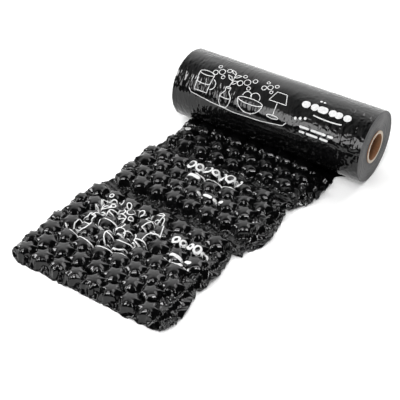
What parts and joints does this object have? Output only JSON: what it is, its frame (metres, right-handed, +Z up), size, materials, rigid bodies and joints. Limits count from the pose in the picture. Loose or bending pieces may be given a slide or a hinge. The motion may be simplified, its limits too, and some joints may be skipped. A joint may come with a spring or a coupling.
{
  "type": "air pillow film roll",
  "caption": "Roll of inflatable cushioning film on a cardboard core, with its first stretch blown up into a web of round air bubbles for packing.",
  "frame": {"origin": "centre of the core's bore, halfway along the roll", "axes": "+X along the bore, +Z up, the web lies on the surface below and runs towards -Y"},
  "size_m": [0.4054, 0.6073, 0.1357],
  "materials": {
    "film": "gloss",
    "core_board": "matte"
  },
  "bodies": {
    "root": {"film": "film", "core": "core_board"}
  },
  "joints": []
}
